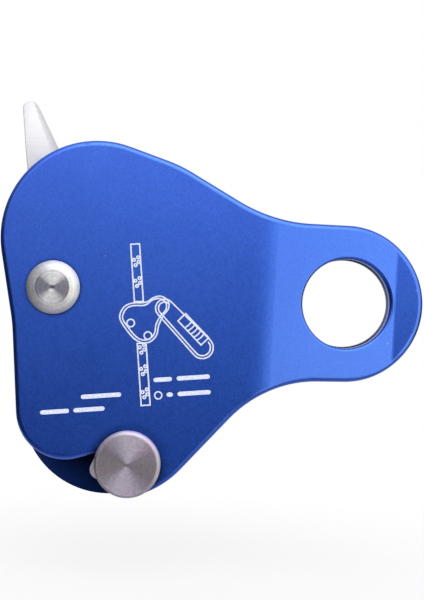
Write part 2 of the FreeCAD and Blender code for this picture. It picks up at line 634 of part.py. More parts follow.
small_pin(rivets, "dims.pin_rad", PIN_FRONT, "dims.pin_head", "dims.pin_head_high",
          f"({second[0]}) - ({first[0]})", f"({second[1]}) - ({first[1]})")

# ---- checks and export ------------------------------------------------------------------
SOLIDS = {"backstop_rivets": len(BLOCK_PINS)}
doc.recompute()
os.makedirs("parts", exist_ok=True)
for item in doc.Objects:
    if "Invalid" in item.State or "Error" in item.State:
        raise RuntimeError(f"{item.Name} is {item.State}")
for item in doc.Objects:
    if item.TypeId != "PartDesign::Body":
        continue
    shape = item.Shape
    if shape.isNull() or not shape.isValid() or len(shape.Solids) != SOLIDS.get(item.Label, 1):
        raise RuntimeError(f"{item.Label} has a bad shape")
    print(item.Label, round(shape.Volume, 1))
    shape.exportStep(f"parts/{item.Label}.step")
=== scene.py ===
"""Looks for the rope-grab ascender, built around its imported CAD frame."""
import math
import bmesh
import bpy
from mathutils import Matrix, Vector


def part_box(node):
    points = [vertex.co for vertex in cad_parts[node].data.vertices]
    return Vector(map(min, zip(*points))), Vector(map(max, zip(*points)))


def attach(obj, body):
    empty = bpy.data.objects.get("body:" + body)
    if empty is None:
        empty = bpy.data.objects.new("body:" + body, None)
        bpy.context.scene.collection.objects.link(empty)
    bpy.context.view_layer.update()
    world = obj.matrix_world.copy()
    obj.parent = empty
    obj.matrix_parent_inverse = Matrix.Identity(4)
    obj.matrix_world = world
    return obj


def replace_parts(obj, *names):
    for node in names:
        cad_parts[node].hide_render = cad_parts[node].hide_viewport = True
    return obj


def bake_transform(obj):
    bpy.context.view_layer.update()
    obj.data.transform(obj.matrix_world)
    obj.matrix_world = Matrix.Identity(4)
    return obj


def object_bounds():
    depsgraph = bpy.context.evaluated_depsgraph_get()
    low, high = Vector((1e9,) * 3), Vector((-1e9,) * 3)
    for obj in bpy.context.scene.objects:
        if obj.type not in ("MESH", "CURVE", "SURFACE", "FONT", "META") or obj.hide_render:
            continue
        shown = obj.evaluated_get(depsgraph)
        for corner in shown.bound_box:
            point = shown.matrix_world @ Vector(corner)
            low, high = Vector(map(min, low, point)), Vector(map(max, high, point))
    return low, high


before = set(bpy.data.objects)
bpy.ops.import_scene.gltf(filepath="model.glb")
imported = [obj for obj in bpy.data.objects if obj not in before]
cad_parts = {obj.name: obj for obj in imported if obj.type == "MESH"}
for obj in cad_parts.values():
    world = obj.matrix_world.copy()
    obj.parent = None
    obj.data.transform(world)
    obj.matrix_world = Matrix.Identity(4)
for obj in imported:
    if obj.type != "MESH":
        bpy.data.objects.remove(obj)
cad_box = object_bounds()
MM = 0.001
FULL_TURN = 2 * math.pi


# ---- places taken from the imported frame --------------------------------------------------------
def middle(node):
    low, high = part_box(node)
    return (low + high) / 2


axle = middle("cam_axle")
stud = middle("latch_stud")
front_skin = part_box("front_plate")[0].y

# ---- mesh helpers ------------------------------------------------------------------------------
SHARP = math.radians(32)       # edges of the built pieces that turn more than this stay crisp
LATHE_SEGMENTS = 144


def dress(thing, mat):
    """Gives an object one material in place of those it has."""
    thing.data.materials.clear()
    thing.data.materials.append(mat)


def soften(mesh, sharp):
    mesh.shade_smooth()
    mesh.set_sharp_from_angle(angle=sharp)


def add_piece(name, mesh, body, mat):
    """Puts a mesh in the scene with one material; it rides on a body unless body is None."""
    piece = bpy.data.objects.new(name, mesh)
    bpy.context.scene.collection.objects.link(piece)
    dress(piece, mat)
    if body:
        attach(piece, body)
    return piece


def build_mesh(name, verts, faces):
    mesh = bpy.data.meshes.new(name)
    mesh.from_pydata(verts, [], faces)
    mesh.validate()
    return mesh


def lathe(outline, centre):
    """Turns an outline of (radius, y) points in mm round a Y axis; its two ends lie on the axis."""
    rings = outline[1:-1]
    verts = [(centre.x, outline[0][1] * MM, centre.z)]
    for radius, depth in rings:
        for i in range(LATHE_SEGMENTS):
            turn = FULL_TURN * i / LATHE_SEGMENTS
            verts.append((centre.x + radius * MM * math.cos(turn), depth * MM,
                          centre.z + radius * MM * math.sin(turn)))
    verts.append((centre.x, outline[-1][1] * MM, centre.z))
    last = len(verts) - 1
    faces = []
    for i in range(LATHE_SEGMENTS):
        j = (i + 1) % LATHE_SEGMENTS
        faces.append((0, 1 + i, 1 + j))
        faces.append((last, last - LATHE_SEGMENTS + j, last - LATHE_SEGMENTS + i))
        for k in range(len(rings) - 1):
            a, b = 1 + k * LATHE_SEGMENTS, 1 + (k + 1) * LATHE_SEGMENTS
            faces.append((a + i, b + i, b + j, a + j))
    return verts, faces


def arc(x, y, radius, start, end, steps=8):
    """Points on an arc, angles in degrees."""
    turns = [math.radians(start + (end - start) * i / steps) for i in range(steps + 1)]
    return [(x + radius * math.cos(t), y + radius * math.sin(t)) for t in turns]


def smooth_loop(points, steps=6):
    """A closed Catmull-Rom curve through a few points."""
    count = len(points)
    out = []
    for i in range(count):
        p0, p1, p2, p3 = (Vector(points[(i + k) % count]) for k in (-1, 0, 1, 2))
        for s in range(steps):
            t = s / steps
            q = (2 * p1 + (p2 - p0) * t + (2 * p0 - 5 * p1 + 4 * p2 - p3) * t * t
                 + (3 * p1 - p0 - 3 * p2 + p3) * t ** 3) / 2
            out.append((q.x, q.y))
    return out


# ---- shader helpers ----------------------------------------------------------------------------
MIX_FACTOR, MIX_A, MIX_B, MIX_RESULT = 0, 6, 7, 2      # the colour sockets of a Mix node
BLACK = (0, 0, 0, 1)
WHITE = (1, 1, 1, 1)
UNIT = (0.0, 1.0)
NOISE_SPAN = (0.3, 0.7)        # nearly all of a noise's values lie in here


class Graph:
    """A node tree, with a method for each kind of node that the materials share."""

    def __init__(self, tree):
        self.nodes, self.links = tree.nodes, tree.links

    def add(self, kind, **values):
        node = self.nodes.new(kind)
        for key, value in values.items():
            setattr(node, key, value)
        return node

    def plug(self, socket, value):
        """Links a socket or sets a plain value."""
        if isinstance(value, bpy.types.NodeSocket):
            self.links.new(value, socket)
        else:
            socket.default_value = value

    def feed(self, node, values):
        """Fills a node's inputs from {name or number: socket or plain value}."""
        for key, value in values.items():
            self.plug(node.inputs[key], value)

    def coords(self):
        return self.add("ShaderNodeTexCoord").outputs["Object"]

    def split(self, vector):
        node = self.add("ShaderNodeSeparateXYZ")
        self.feed(node, {0: vector})
        return node.outputs

    def noise(self, coords, scale, detail, rough=0.5):
        node = self.add("ShaderNodeTexNoise")
        self.feed(node, {"Vector": coords, "Scale": scale, "Detail": detail, "Roughness": rough})
        return node.outputs["Fac"]

    def remap(self, value, source, target=UNIT, smooth=False):
        """Maps the span source = (low, high) onto the span target."""
        kind = "SMOOTHSTEP" if smooth else "LINEAR"
        node = self.add("ShaderNodeMapRange", interpolation_type=kind)
        self.feed(node, {"Value": value, "From Min": source[0], "From Max": source[1],
                         "To Min": target[0], "To Max": target[1]})
        return node.outputs["Result"]

    def maths(self, operation, a, b=0.0):
        node = self.add("ShaderNodeMath", operation=operation)
        self.feed(node, {0: a, 1: b})
        return node.outputs[0]

    def share(self, a, b, part):
        """The given part of a plus the rest of b."""
        return self.maths("ADD", self.maths("MULTIPLY", a, part),
                          self.maths("MULTIPLY", b, 1 - part))

    def vector(self, operation, a, b=(0, 0, 0)):
        node = self.add("ShaderNodeVectorMath", operation=operation)
        self.feed(node, {0: a, 1: b})
        return node.outputs["Value" if operation in ("LENGTH", "DOT_PRODUCT") else "Vector"]

    def mix(self, factor, a, b):
        node = self.add("ShaderNodeMix", data_type="RGBA")
        self.feed(node, {MIX_FACTOR: factor, MIX_A: a, MIX_B: b})
        return node.outputs[MIX_RESULT]

    def bump(self, height, strength, distance):
        node = self.add("ShaderNodeBump")
        self.feed(node, {"Height": height, "Strength": strength, "Distance": distance})
        return node.outputs["Normal"]


def new_material(name):
    mat = bpy.data.materials.new(name)
    mat.use_nodes = True
    return mat, Graph(mat.node_tree), mat.node_tree.nodes["Principled BSDF"]


def shade(colour, factor):
    return tuple(c * factor for c in colour) + (1,)


# ---- materials ---------------------------------------------------------------------------------
BLUE_DARK, BLUE_LIGHT = (0.028, 0.139, 0.82, 1), (0.050, 0.194, 1.0, 1)
DUST = (0.30, 0.45, 1.0, 1)
TINT_HIDDEN, TINT_OPEN = (0.02, 0.05, 0.2, 1), (0.5, 0.7, 1, 1)    # what grazing reflections turn into: dark under the painted shade, pale in the open
PAINTED_SHADE_REACH = 30 * MM                # how far round itself the blue looks for things that cast its painted shade
STEEL_PAINTED_SHADE = (0, 0, 0.07, 1)          # the colour the painted shade on turned steel goes to: a little blue


def anodised_blue(name, painted_shade_span):
    """Bead-blasted aluminium dyed blue: an even grain, faint clouds and a few pale specks of dust.

    The second argument is the span of ambient occlusion over which painted shade gives way to the
    full colour.
    """
    mat, graph, shader = new_material(name)
    coords = graph.coords()
    grain = graph.noise(coords, scale=2300, detail=3.0, rough=0.7)
    clouds = graph.noise(coords, scale=45, detail=3.0)
    tone = graph.remap(graph.share(grain, clouds, 0.75), (0.36, 0.64))
    dust = graph.add("ShaderNodeTexVoronoi")
    graph.feed(dust, {"Vector": coords, "Scale": 120})
    fleck = graph.remap(dust.outputs["Distance"], (0.018, 0.03), (0.7, 0.0))
    colour = graph.mix(fleck, graph.mix(tone, BLUE_DARK, BLUE_LIGHT), DUST)
    # painted shade: colour, reflection tint and coat fade towards black where ambient occlusion
    # finds things close round: in the bores, between the plates, at the heads
    occlusion = graph.add("ShaderNodeAmbientOcclusion", samples=8)
    graph.feed(occlusion, {"Distance": PAINTED_SHADE_REACH})
    unshaded = graph.remap(occlusion.outputs["AO"], painted_shade_span, (0.04, 1.0))
    graph.feed(shader, {
        "Base Color": graph.mix(unshaded, BLACK, colour),
        "Metallic": 1.0,
        "Roughness": graph.remap(grain, NOISE_SPAN, (0.30, 0.38)),
        "Specular Tint": graph.mix(unshaded, TINT_HIDDEN, TINT_OPEN),
        "Coat Weight": unshaded,
        "Coat Roughness": 0.2,
        "Normal": graph.bump(grain, strength=0.16, distance=0.00004),
    })
    return mat


def turned_steel(name, centre, base, disc, ring_scale, ring_tone, ring_depth, metal, aniso, sheen,
                 disc_shade, left, pit_shade):
    """Stainless steel faced on a lathe: rings, and a painted radial hour-glass sheen on the faced
    disc.

    disc is the disc's radius in mm, ring_tone the tone of the dark rings, ring_depth their depth
    in m, sheen how much darker the painted sheen leaves the disc left and right of the axis, and
    the last three the painted shade of the disc, of the flank's left side and of the centre mark.
    """
    mat, graph, shader = new_material(name)
    coords = graph.coords()
    flat = graph.vector("MULTIPLY", graph.vector("SUBTRACT", coords, centre), (1, 0, 1))
    radius = graph.vector("LENGTH", flat)
    aim = graph.vector("NORMALIZE", flat)
    aim_parts = graph.split(aim)
    outwards = graph.add("ShaderNodeCombineXYZ")
    graph.feed(outwards, {"X": radius})
    rings = graph.noise(outwards.outputs[0], ring_scale, detail=4.0, rough=0.65)
    specks = graph.noise(coords, scale=1300, detail=3.0, rough=0.6)
    # dark and light rings, with a cast that turns from mauve to green round the axis
    mauve = (base[0], base[1] * 0.95, base[2] * 0.98, 1)
    green = (base[0] * 0.97, base[1] * 1.04, base[2] * 1.02, 1)
    cast = graph.remap(graph.noise(aim, scale=2.2, detail=3.0), (0.35, 0.65))
    steel = graph.mix(graph.remap(rings, (0.34, 0.66), (ring_tone, 1.0)), BLACK,
                      graph.mix(cast, mauve, green))
    # painted sheen and shade: the disc darker left and right of the axis, the flank brighter but
    # darker on its left, the centre mark dark
    upright = graph.maths("ABSOLUTE", aim_parts["Z"])
    uneven = graph.maths("MULTIPLY", graph.noise(aim, scale=3.0, detail=3.0), 0.3)
    glass = graph.remap(graph.maths("ADD", upright, uneven), (0.55, 1.1),
                        ((1 - sheen) * disc_shade, disc_shade), smooth=True)
    past_disc = graph.remap(radius, ((disc - 0.3) * MM, (disc + 0.1) * MM))
    flank = graph.maths("MULTIPLY", graph.remap(aim_parts["X"], (-1.0, 0.0), (left, 1.0)),
                        past_disc)
    level = graph.maths("MULTIPLY", graph.maths("MAXIMUM", glass, flank),
                        graph.remap(radius, (0.25 * MM, 0.75 * MM), (pit_shade, 1.0)))
    level = graph.maths("MULTIPLY", level, graph.remap(specks, (0.35, 0.65), (0.88, 1.1)))
    # the base colour carries the painted sheen and shade, going towards a blue-black where darkest
    graph.feed(shader, {
        "Base Color": graph.mix(level, STEEL_PAINTED_SHADE, steel),
        "Metallic": metal,
        "Roughness": graph.remap(specks, NOISE_SPAN, (0.38, 0.48)),
        "Anisotropic": aniso,
        "Anisotropic Rotation": 0.25,
        "Tangent": graph.add("ShaderNodeTangent", direction_type="RADIAL", axis="Y").outputs[0],
        "Normal": graph.bump(rings, strength=0.3, distance=ring_depth),
    })
    return mat


def satin_steel(name, base, rough, grain_scale=900, metal=1.0):
    """Machined stainless: a fine grain, streaks of the grinding belt and soft stains."""
    mat, graph, shader = new_material(name)
    coords = graph.coords()
    belt = graph.vector("MULTIPLY", coords, (1.0, 8.0, 14.0))
    streaks = graph.noise(belt, scale=110, detail=4.0, rough=0.7)
    specks = graph.noise(coords, grain_scale, detail=3.0, rough=0.65)
    clouds = graph.noise(coords, scale=90, detail=4.0)
    grain = graph.share(streaks, specks, 0.6)
    tone = graph.remap(graph.share(clouds, streaks, 0.5), (0.38, 0.62))
    graph.feed(shader, {
        "Base Color": graph.mix(tone, shade(base, 0.92), shade(base, 1.03)),
        "Metallic": metal,
        "Roughness": graph.remap(grain, NOISE_SPAN, (rough - 0.05, rough + 0.07)),
        "Normal": graph.bump(grain, strength=0.18, distance=0.00005),
    })
    return mat


def speckled(name, scale, rough_noise, span, dark, light, roughness, relief, metal):
    """A plain surface with one fine speckle in its colour, roughness and relief."""
    mat, graph, shader = new_material(name)
    specks = graph.noise(graph.coords(), scale, detail=3.0, rough=rough_noise)
    graph.feed(shader, {
        "Base Color": graph.mix(graph.remap(specks, span), dark, light),
        "Metallic": metal,
        "Roughness": graph.remap(specks, NOISE_SPAN, roughness),
        "Normal": graph.bump(specks, *relief),
    })
    return mat


BLUE_FRONT = anodised_blue("anodised_blue", painted_shade_span=(0.45, 0.86))
# the rear plate's copy is the same blue with more painted shade, as it lies behind the front plate
BLUE_REAR_SHADED = anodised_blue("anodised_blue_rear_shaded", painted_shade_span=(0.60, 0.98))
STEEL_LIGHT = satin_steel("satin_steel", (0.725, 0.715, 0.75), rough=0.46, metal=0.22)
STEEL_BLOCK = satin_steel("block_steel", (0.72, 0.70, 0.75), rough=0.40, metal=0.6)
WIRE = satin_steel("spring_wire", (0.42, 0.42, 0.44), rough=0.28, grain_scale=2000)
BRONZE = speckled("bearing_bronze", scale=1500, rough_noise=0.5, span=(0.35, 0.65),
                  dark=(0.36, 0.21, 0.09, 1), light=(0.55, 0.36, 0.17, 1),
                  roughness=(0.3, 0.45), relief=(0.15, 0.00004), metal=1.0)
# screen-printed white ink, a little thin in places
INK = speckled("white_ink", scale=2600, rough_noise=0.6, span=(0.3, 0.6),
               dark=(0.50, 0.57, 0.84, 1), light=(0.78, 0.83, 0.97, 1),
               roughness=(0.45, 0.6), relief=(0.2, 0.00002), metal=0.0)
AXLE_STEEL = turned_steel("axle_steel", tuple(axle), (1.0, 0.985, 1.0), disc=4.55, ring_scale=1500,
                          ring_tone=0.62, ring_depth=0.00026, metal=0.60, aniso=0.80, sheen=0.66,
                          disc_shade=0.84, left=0.62, pit_shade=0.3)
STUD_STEEL = turned_steel("stud_steel", tuple(stud), (0.765, 0.67, 0.78), disc=7.7,
                          ring_scale=4200, ring_tone=0.80, ring_depth=0.00006, metal=0.85,
                          aniso=0.85, sheen=0.30, disc_shade=0.81, left=0.85, pit_shade=0.65)

FINISH = {
    "rear_plate": BLUE_REAR_SHADED, "front_plate": BLUE_FRONT,
    "front_plate_bushing": BRONZE, "cam_bushing": BRONZE,
    "cam_washer_front": BRONZE, "cam_washer_rear": BRONZE,
    "cam": STEEL_LIGHT, "spring_anchor_pin": STEEL_BLOCK, "cam_stop_pin": STEEL_BLOCK,
    "cam_axle": AXLE_STEEL, "cam_axle_ring": AXLE_STEEL,
    "latch_stud": STUD_STEEL, "latch_stud_ring": STUD_STEEL,
    "backstop": STEEL_BLOCK, "backstop_rivets": STEEL_BLOCK, "cam_spring": WIRE,
}
for node, mat in FINISH.items():
    dress(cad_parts[node], mat)

# ---- the two turned heads (sizes in mm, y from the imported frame) -------------------------------
BACK = 13.0                    # where the formed rear heads start
BACK_HEAD = 1.3                # their height
BACK_RADIUS = 7.0
BACK_EDGE = 0.5                # the rounding of their edge
UNDER_HEAD = -12.15            # underside of the front heads
AXLE_SHANK, STUD_SHANK = 5.0, 4.5
LEAN_AT_FACE, LEAN_GAIN = 10, 45       # slope of the axle head's flank, in degrees


def rear_half(shank):
    """Outline of a pin from its shank to the formed head behind the plates."""
    corner = arc(BACK_RADIUS - BACK_EDGE, BACK + BACK_HEAD - BACK_EDGE, BACK_EDGE, 0, 90)
    return ([(shank, UNDER_HEAD), (shank, BACK), (BACK_RADIUS, BACK)] + corner
            + [(0, BACK + BACK_HEAD)])


def axle_outline():
    """A shallow dome that turns down steeply to a straight rim, with a centre-drill dimple."""
    radius, top, face = 7.05, -14.75, 4.55
    dimple = [(0, top + 0.30), (0.25, top + 0.28), (0.42, top + 0.06), (0.6, top)]
    dome = [(r, top + 0.006 * r * r) for r in (1.2, 2.0, 2.8, 3.6, face)]
    flank, depth, steps = [], dome[-1][1], 14
    for i in range(1, steps + 1):
        lean = math.radians(LEAN_AT_FACE + LEAN_GAIN * i / steps)
        depth += (radius - face) / steps * math.tan(lean)
        flank.append((face + (radius - face) * i / steps, depth))
    return dimple + dome + flank + [(radius, UNDER_HEAD)] + rear_half(AXLE_SHANK)


def stud_outline():
    """A flat faced head with a narrow bevel round it."""
    radius, top, bevel, edge = 8.7, -15.35, 0.6, 0.15
    face = [(r, top) for r in (0, 0.3, 2, 4, 6, 7.6)]
    rim = (arc(radius - bevel - 0.1, top + edge, edge, -90, -55, 3)
           + arc(radius - edge, top + bevel + 0.05, edge, -45, 0, 3))
    return face + rim + [(radius, UNDER_HEAD)] + rear_half(STUD_SHANK)


for node, outline, centre, mat in (("cam_axle", axle_outline(), axle, AXLE_STEEL),
                                   ("latch_stud", stud_outline(), stud, STUD_STEEL)):
    mesh = build_mesh(node + "_turned", *lathe(outline, centre))
    soften(mesh, SHARP)
    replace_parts(add_piece(node + "_turned", mesh, "frame", mat), node)

# ---- the cam with its edges eased --------------------------------------------------------------
WELD = 1e-6                    # corners closer than this, in m, are one corner
FLAT = math.radians(1)         # facets that turn less than this are one face
EDGE = math.radians(25)        # a cam edge that turns more than this gets rounded
SHARP_CAM = math.radians(30)
LEVER_FROM = 14 * MM           # the lever is what stands higher than this over the axle
TEETH_RIGHT_OF, TEETH_BELOW = 9 * MM, 12 * MM
LEVER_ROUND, TEETH_ROUND = 0.3 * MM, 0.12 * MM
FACET = Vector((0.608, -0.6545, 0.449))        # faces up, right and to the front
FACET_FAR = 17.7               # the facet's plane lies this far, in mm, from the axle's middle


def on_lever(p):
    return p.z > LEVER_FROM


def on_teeth(p):
    return p.x > TEETH_RIGHT_OF and p.z < TEETH_BELOW


def face_order(face, count):
    """A number made of a face's three lowest corners, the same in every run."""
    a, b, c = sorted(vert.index for vert in face.verts)[:3]
    return (a * count + b) * count + c


def eased_cam():
    """The CAD cam's shape with rounded edges and the facet on the lever's right front corner."""
    shape = bmesh.new()
    shape.from_mesh(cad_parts["cam"].data)
    bmesh.ops.remove_doubles(shape, verts=shape.verts, dist=WELD)
    bmesh.ops.dissolve_limit(shape, angle_limit=FLAT, verts=shape.verts, edges=shape.edges)
    for test, width in ((on_lever, LEVER_ROUND), (on_teeth, TEETH_ROUND)):
        picked = [e for e in shape.edges if len(e.link_faces) == 2 and e.calc_face_angle() > EDGE
                  and test((e.verts[0].co + e.verts[1].co) / 2 - axle)]
        bmesh.ops.bevel(shape, geom=picked, offset=width, segments=3, profile=0.5, affect="EDGES",
                        clamp_overlap=True)
    cut = bmesh.ops.bisect_plane(shape, geom=shape.verts[:] + shape.edges[:] + shape.faces[:],
                                 plane_co=axle + FACET * FACET_FAR * MM, plane_no=FACET,
                                 clear_outer=True)
    rim = [part for part in cut["geom_cut"] if isinstance(part, bmesh.types.BMEdge)]
    bmesh.ops.edgeloop_fill(shape, edges=rim)
    bmesh.ops.recalc_face_normals(shape, faces=shape.faces)
    # the bevel's faces come in an order that changes from run to run
    shape.verts.index_update()
    count = len(shape.verts)
    shape.faces.sort(key=lambda face: face_order(face, count))
    mesh = bpy.data.meshes.new("cam_eased")
    shape.to_mesh(mesh)
    shape.free()
    soften(mesh, SHARP_CAM)
    return mesh


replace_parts(add_piece("cam_eased", eased_cam(), "cam", STEEL_LIGHT), "cam")

# ---- the torsion spring (mm, round the axle) ---------------------------------------------------
COIL = 8.55                    # radius of the coil's centre line
WIRE_RADIUS = 0.55
WIRE_SIDES = 12
PITCH = 1.28
TURNS = 3
STEPS_PER_TURN = 56
LEG_STEPS = 6
CAM_SIDE = 3.1                 # y of the leg that lies in the cam
COIL_END = CAM_SIDE + PITCH * TURNS
CAM_LEG, FIXED_LEG = 9.0, 14.0


def spring_path():
    """Wire centre line: down the cam's leg, round the coil, up to the anchor pin."""
    path = [(COIL, CAM_SIDE, -CAM_LEG + CAM_LEG * i / LEG_STEPS) for i in range(LEG_STEPS)]
    steps = STEPS_PER_TURN * TURNS
    for i in range(steps + 1):
        turn = FULL_TURN * TURNS * i / steps
        path.append((COIL * math.cos(turn), CAM_SIDE + PITCH * TURNS * i / steps,
                     COIL * math.sin(turn)))
    path += [(COIL, COIL_END, FIXED_LEG * i / LEG_STEPS) for i in range(1, LEG_STEPS + 1)]
    return [Vector((axle.x + x * MM, y * MM, axle.z + z * MM)) for x, y, z in path]


def tube(path, radius):
    """A round wire along a path, closed at both ends."""
    verts, faces = [], []
    for i, point in enumerate(path):
        along = (path[min(i + 1, len(path) - 1)] - path[max(i - 1, 0)]).normalized()
        side = along.cross(Vector((0, 1, 0))).normalized()
        up = side.cross(along)
        for k in range(WIRE_SIDES):
            turn = FULL_TURN * k / WIRE_SIDES
            verts.append(point + (side * math.cos(turn) + up * math.sin(turn)) * radius)
    for i in range(len(path) - 1):
        for k in range(WIRE_SIDES):
            a, b = i * WIRE_SIDES + k, i * WIRE_SIDES + (k + 1) % WIRE_SIDES
            faces.append((a, b, b + WIRE_SIDES, a + WIRE_SIDES))
    faces.append(tuple(reversed(range(WIRE_SIDES))))
    faces.append(tuple(range(len(verts) - WIRE_SIDES, len(verts))))
    return verts, faces


wire = build_mesh("torsion_spring", *tube(spring_path(), WIRE_RADIUS * MM))
soften(wire, SHARP)
spring = add_piece("torsion_spring", wire, None, WIRE)
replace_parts(spring, "cam_spring")
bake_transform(spring)

# ---- printed marks on the front plate (mm, in the print's own frame) ---------------------------
INK_LIFT = 0.02                # the ink stands this far off the plate
INK_STEP = 0.001               # each mark lies over the one before
LINE = 0.37                    # width of a drawn line
SHARPEST_MITRE = 0.5           # keeps the corner of a sharp bend short
BAR_HEIGHT = 1.15
TAPER_STEPS = 14
PRINT_ORIGIN = Vector((-54.8, -8.0))
PRINT_TURN = math.radians(7)   # the print sits a little turned on the plate
marks = {"verts": [], "faces": [], "lift": INK_LIFT}


def ink(points):
    """Puts print-frame points on the plate and returns their first vertex number."""
    first = len(marks["verts"])
    cos, sin = math.cos(PRINT_TURN), math.sin(PRINT_TURN)
    for u, v in points:
        x, z = PRINT_ORIGIN.x + u * cos - v * sin, PRINT_ORIGIN.y + u * sin + v * cos
        marks["verts"].append((x * MM, front_skin - marks["lift"] * MM, z * MM))
    marks["lift"] += INK_STEP
    return first


def line(points, closed=False):
    """A drawn line of even width with mitred corners."""
    count = len(points)
    left, right = [], []
    for i, point in enumerate(points):
        here = Vector(point)
        before = Vector(points[i - 1] if closed or i else points[i])
        after = Vector(points[(i + 1) % count] if closed or i < count - 1 else points[i])
        a = (here - before).normalized() if here != before else (after - here).normalized()
        b = (after - here).normalized() if after != here else a
        normal = Vector((-(a.y + b.y), a.x + b.x)).normalized()
        reach = LINE / 2 / max(SHARPEST_MITRE, normal.dot(Vector((-a.y, a.x))))
        left.append(here + normal * reach)
        right.append(here - normal * reach)
    first = ink(left + right)
    for i in range(count if closed else count - 1):
        j = (i + 1) % count
        marks["faces"].append((first + i, first + count + i, first + count + j, first + j))


def ring(x, z, radius):
    line(arc(x, z, radius, 0, 360, 20)[:-1], closed=True)


def bar(x0, x1, z):
    """A plain bar with round ends, where a word would stand."""
    r = BAR_HEIGHT / 2
    points = arc(x1 - r, z, r, -90, 90, 6) + arc(x0 + r, z, r, 90, 270, 6)
    first = ink(points)
    marks["faces"].append(tuple(range(first + len(points) - 1, first - 1, -1)))


def taper(a, ra, b, rb):
    """Outline round two circles: the shape of a connector."""
    a, b = Vector(a), Vector(b)
    axis = math.degrees(math.atan2(b.y - a.y, b.x - a.x))
    lean = math.degrees(math.acos((ra - rb) / (b - a).length))
    return (arc(b.x, b.y, rb, axis - lean, axis + lean, TAPER_STEPS)
            + arc(a.x, a.y, ra, axis + lean, axis + 360 - lean, TAPER_STEPS))


# the rope: two open lengths with small rings for its fleck pattern
ROPE_LEFT, ROPE_RIGHT = -0.95, 1.4
FLECKS = ((-0.35, 0.65), (0.0, -0.75), (0.85, 0.0), (0.8, 1.25))
for low, high in ((5.5, 20.7), (-21.9, -5.5)):
    line([(ROPE_LEFT, low), (ROPE_RIGHT, low), (ROPE_RIGHT, high), (ROPE_LEFT, high)], closed=True)
for z in (15.9, 10.4, -7.2, -12.9, -19.0):
    for x, up in FLECKS:
        ring(x, z + up, 0.36)

# the clamp: a double outline with two pins
SHELL = [(-5.1, 1.6), (-3.9, 4.2), (-1.6, 5.2), (2.0, 5.2), (4.2, 6.3), (6.2, 6.5), (7.9, 5.2),
         (7.9, 3.2), (6.3, 1.3), (5.0, -1.2), (4.3, -3.6), (2.6, -5.2), (0.4, -5.4), (-1.6, -4.2),
         (-3.6, -1.6)]
HEART = Vector((0.8, 0.6))
SHELL_GAP = 0.75
outer = smooth_loop(SHELL)
inner = []
for point in outer:
    away = Vector(point) - HEART
    inner.append(tuple(HEART + away * (1 - SHELL_GAP / away.length)))
line(outer, closed=True)
line(inner, closed=True)
for x, z in ((-2.3, 0.0), (2.0, -3.6)):
    ring(x, z, 1.0)

# the connector: outline, inner line left open at the nose, and a ribbed sleeve
NOSE, HEEL = (6.9, 3.3), (16.1, -7.7)
line(taper(NOSE, 2.4, HEEL, 2.9), closed=True)
inner_side = taper(NOSE, 1.65, HEEL, 2.15)
line(inner_side[TAPER_STEPS + 1:] + inner_side[:TAPER_STEPS + 1])
SLEEVE_LONG, SLEEVE_WIDE = 4.4, 1.4
RIBS, FIRST_RIB, RIB_STEP, RIB_BOW = 5, -2.0, 1.15, 0.35
along = (Vector(HEEL) - Vector(NOSE)).normalized()
across = Vector((-along.y, along.x))
sleeve = Vector((12.9, -1.1)) + along * 2.0 - across * 0.15


def on_sleeve(s, t):
    return tuple(sleeve + along * s + across * t)


corners = [(s * SLEEVE_LONG, t * SLEEVE_WIDE) for s, t in ((-1, -1), (1, -1), (1, 1), (-1, 1))]
line([on_sleeve(s, t) for s, t in corners], closed=True)
for rib in range(RIBS):
    s = FIRST_RIB + rib * RIB_STEP
    line([on_sleeve(s + RIB_BOW * math.cos(t * 1.2), t * SLEEVE_WIDE)
          for t in (-1, -0.5, 0, 0.5, 1)])

# plain bars and a ring in the places of the words
WORDS = ((2.7, 7.6, -15.4), (8.8, 17.6, -15.4), (5.9, 7.6, -19.5), (8.8, 17.6, -19.5),
         (-16.7, -6.0, -18.6), (-27.7, -20.0, -22.0), (-18.9, -10.6, -22.0))
for x0, x1, z in WORDS:
    bar(x0, x1, z)
ring(3.7, -19.5, 0.95)
print_mesh = build_mesh("printed_marks", marks["verts"], marks["faces"])
add_piece("printed_marks", print_mesh, "front_plate", INK)

# ---- the floor ---------------------------------------------------------------------------------
low, high = cad_box
CENTRE = (low + high) / 2
FLOOR_DROP = 0.02              # the object floats this far over the floor
FLOOR_RADIUS = 4.0
FADE_SPAN = (0.03, 0.16)       # the floor goes from shaded to plain white over these distances
FADE_SHARES = (0.8, 1.0)       # how much of the plain white there is at the two


def pale_floor():
    mat, graph, shader = new_material("pale_floor")
    coords = graph.coords()
    specks = graph.noise(coords, scale=60, detail=4.0)
    graph.feed(shader, {
        "Base Color": graph.mix(specks, (0.80, 0.80, 0.80, 1), (0.86, 0.86, 0.86, 1)),
        "Roughness": 0.9,
        "Specular IOR Level": 0.0,
    })
    white = graph.add("ShaderNodeEmission")
    fade = graph.add("ShaderNodeMixShader")
    distance = graph.vector("LENGTH", coords)
    graph.feed(fade, {0: graph.remap(distance, FADE_SPAN, FADE_SHARES, smooth=True),
                      1: shader.outputs[0], 2: white.outputs[0]})
    graph.feed(graph.nodes["Material Output"], {"Surface": fade.outputs[0]})
    return mat


circle = bmesh.new()
bmesh.ops.create_circle(circle, cap_ends=True, radius=FLOOR_RADIUS, segments=96)
floor_mesh = bpy.data.meshes.new("floor")
circle.to_mesh(floor_mesh)
circle.free()
floor = bpy.data.objects.new("floor", floor_mesh)
floor.location = (CENTRE.x, 0, low.z - FLOOR_DROP)
floor.data.materials.append(pale_floor())
bpy.context.scene.collection.objects.link(floor)
floor.visible_glossy = False   # the metal mirrors the studio instead
floor.visible_diffuse = False

